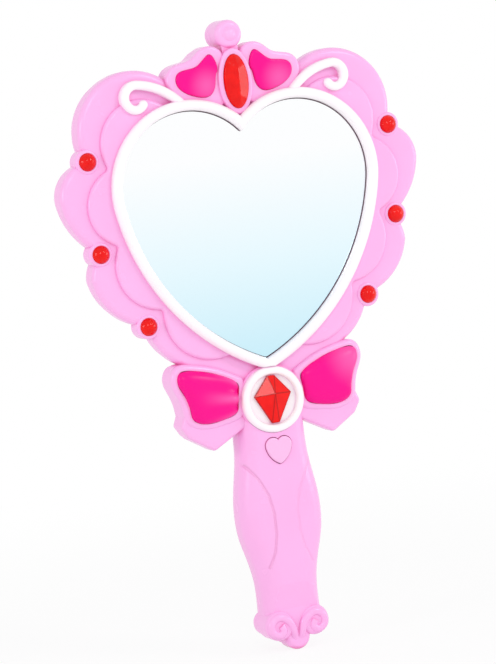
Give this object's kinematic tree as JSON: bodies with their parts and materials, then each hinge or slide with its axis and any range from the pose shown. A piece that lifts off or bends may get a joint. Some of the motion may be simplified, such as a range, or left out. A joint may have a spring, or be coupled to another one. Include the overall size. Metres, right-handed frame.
{
  "type": "toy hand mirror",
  "caption": "Child's heart-shaped hand mirror in a scalloped case with a crown, a bow, red stones and a hollow grip that holds cells, a push button, a lamp and a speaker.",
  "frame": {"origin": "middle of the hand grip, on the plane where the two shells part", "axes": "+Z along the grip towards the crown, the looking glass faces -Y, +X to the right of a viewer who faces the glass"},
  "size_m": [0.1442, 0.0222, 0.2364],
  "materials": {
    "pink_plastic": "glossy light pink moulding",
    "white_plastic": "glossy white moulding",
    "magenta_plastic": "glossy deep pink moulding",
    "red_stone": "polished clear red",
    "looking_glass": "silvered",
    "foam": "matt foam",
    "board": "green lacquered board",
    "black_plastic": "matt black",
    "lamp": "clear lamp",
    "steel": "bright steel",
    "cell_jacket": "plain printed jacket",
    "cone_sheet": "thin speaker sheet",
    "red_lead": "soft insulation",
    "black_lead": "soft insulation"
  },
  "bodies": {
    "casing": {"front_shell": "pink_plastic", "rear_shell": "pink_plastic", "mirror_bezel": "white_plastic", "mirror_plate": "looking_glass", "mirror_pad": "foam", "case_screws": "steel", "crown_gem": "red_stone", "gem_ring": "white_plastic", "centre_gem": "red_stone", "crown_heart_right": "magenta_plastic", "crown_heart_left": "magenta_plastic", "bow_inlay_right": "magenta_plastic", "bow_inlay_left": "magenta_plastic", "rim_gem_upper_right": "red_stone", "rim_gem_upper_left": "red_stone", "rim_gem_middle_right": "red_stone", "rim_gem_middle_left": "red_stone", "rim_gem_lower_right": "red_stone", "rim_gem_lower_left": "red_stone", "circuit_board": "board", "switch_housing": "black_plastic", "melody_chip": "black_plastic", "gem_lamp": "lamp", "battery_tray": "white_plastic", "battery_left": "cell_jacket", "battery_right": "cell_jacket", "bridge_contact": "steel", "positive_contact": "steel", "negative_contact": "steel", "speaker_basket": "steel", "speaker_magnet": "steel", "speaker_cone": "cone_sheet", "battery_lead_red": "red_lead", "battery_lead_black": "black_lead", "speaker_lead_red": "red_lead", "speaker_lead_black": "black_lead"},
    "heart_button": {"heart_button": "pink_plastic"},
    "switch_plunger": {"switch_plunger": "black_plastic"},
    "battery_door": {"battery_door": "pink_plastic"},
    "door_screw": {"door_screw": "steel"}
  },
  "joints": [
    {"name": "button_press", "type": "slide", "parent": "casing", "child": "heart_button", "axis": [0, 1, 0], "range_m": [0, 0.0008], "stiffness_N_per_m": 500, "springref_m": -0.0008},
    {"name": "plunger_press", "type": "slide", "parent": "casing", "child": "switch_plunger", "axis": [0, 1, 0], "range_m": [0, 0.0008]},
    {"name": "door_lift", "type": "slide", "parent": "casing", "child": "battery_door", "axis": [0, 1, 0], "range_m": [0, 0.035]},
    {"name": "screw_turn", "type": "hinge", "parent": "battery_door", "child": "door_screw", "pos_m": [0, 0.0085, -0.0218], "axis": [0, 1, 0], "continuous": true}
  ],
  "couplings": [
    {"joint": "plunger_press", "follows": "button_press", "ratio": 1}
  ]
}
